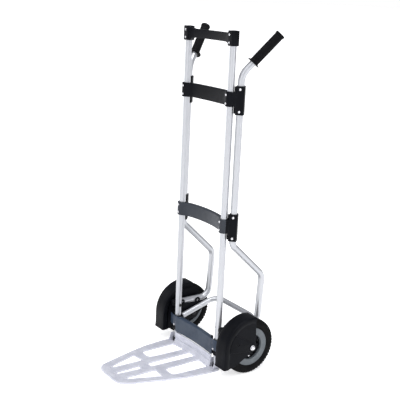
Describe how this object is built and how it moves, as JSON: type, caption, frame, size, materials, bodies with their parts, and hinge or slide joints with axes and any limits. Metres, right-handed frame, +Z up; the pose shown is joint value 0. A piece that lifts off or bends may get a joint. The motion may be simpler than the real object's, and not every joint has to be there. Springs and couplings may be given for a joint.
{
  "type": "hand truck",
  "caption": "Upright two-wheel hand truck with tube frame, angled grips, bowed crossbars, fenders over the wheels and a perforated toe plate that folds up against the frame.",
  "frame": {"origin": "on the floor, at the centre of the footprint", "axes": "+Z up, toe plate toward -Y, handles toward +Y, +X to the right seen from the toe plate's side facing +Y"},
  "size_m": [0.515, 0.5933, 1.2826],
  "materials": {
    "aluminium": "satin anodised",
    "cast_aluminium": "matt cast",
    "steel": "zinc plated",
    "black_plastic": "fine grained",
    "slate_plastic": "fine grained",
    "grey_rim": "matt",
    "grip_rubber": "ribbed",
    "tyre": "matt"
  },
  "bodies": {
    "frame": {"right_post": "aluminium", "left_post": "aluminium", "right_rear_tube": "aluminium", "left_rear_tube": "aluminium", "right_foot": "black_plastic", "left_foot": "black_plastic", "right_upper_bracket": "black_plastic", "left_upper_bracket": "black_plastic", "right_middle_bracket": "black_plastic", "left_middle_bracket": "black_plastic", "right_axle_bracket": "black_plastic", "left_axle_bracket": "black_plastic", "right_fender": "black_plastic", "left_fender": "black_plastic", "right_hinge_pin": "steel", "left_hinge_pin": "steel", "right_strut_bolt": "steel", "left_strut_bolt": "steel", "right_axle": "steel", "left_axle": "steel", "right_axle_nut": "steel", "left_axle_nut": "steel", "right_upper_bracket_rivet_1": "steel", "left_upper_bracket_rivet_1": "steel", "right_upper_bracket_rivet_2": "steel", "left_upper_bracket_rivet_2": "steel", "right_middle_bracket_rivet_1": "steel", "left_middle_bracket_rivet_1": "steel", "right_middle_bracket_rivet_2": "steel", "left_middle_bracket_rivet_2": "steel", "right_top_bar_screw_1": "steel", "left_top_bar_screw_1": "steel", "right_top_bar_screw_2": "steel", "left_top_bar_screw_2": "steel", "right_upper_crossbar_screw_1": "steel", "left_upper_crossbar_screw_1": "steel", "right_upper_crossbar_screw_2": "steel", "left_upper_crossbar_screw_2": "steel", "right_middle_crossbar_screw_1": "steel", "left_middle_crossbar_screw_1": "steel", "right_middle_crossbar_screw_2": "steel", "left_middle_crossbar_screw_2": "steel", "right_bottom_crossbar_screw_1": "steel", "left_bottom_crossbar_screw_1": "steel", "right_grip": "grip_rubber", "left_grip": "grip_rubber", "rear_brace": "aluminium", "top_bar": "black_plastic", "upper_crossbar": "black_plastic", "middle_crossbar": "slate_plastic", "bottom_crossbar": "slate_plastic"},
    "toe_plate": {"toe_plate": "cast_aluminium"},
    "right_wheel": {"right_tyre": "tyre", "right_rim": "grey_rim", "right_hub": "black_plastic", "right_axle_bush": "steel"},
    "left_wheel": {"left_tyre": "tyre", "left_rim": "grey_rim", "left_hub": "black_plastic", "left_axle_bush": "steel"}
  },
  "joints": [
    {"name": "toe_plate_fold", "type": "hinge", "parent": "frame", "child": "toe_plate", "pos_m": [0, 0.0993, 0.03], "axis": [-1, 0, 0], "range_deg": [0, 90]},
    {"name": "right_wheel_spin", "type": "hinge", "parent": "frame", "child": "right_wheel", "pos_m": [0.215, 0.1827, 0.1085], "axis": [1, 0, 0], "continuous": true},
    {"name": "left_wheel_spin", "type": "hinge", "parent": "frame", "child": "left_wheel", "pos_m": [-0.215, 0.1827, 0.1085], "axis": [1, 0, 0], "continuous": true}
  ]
}
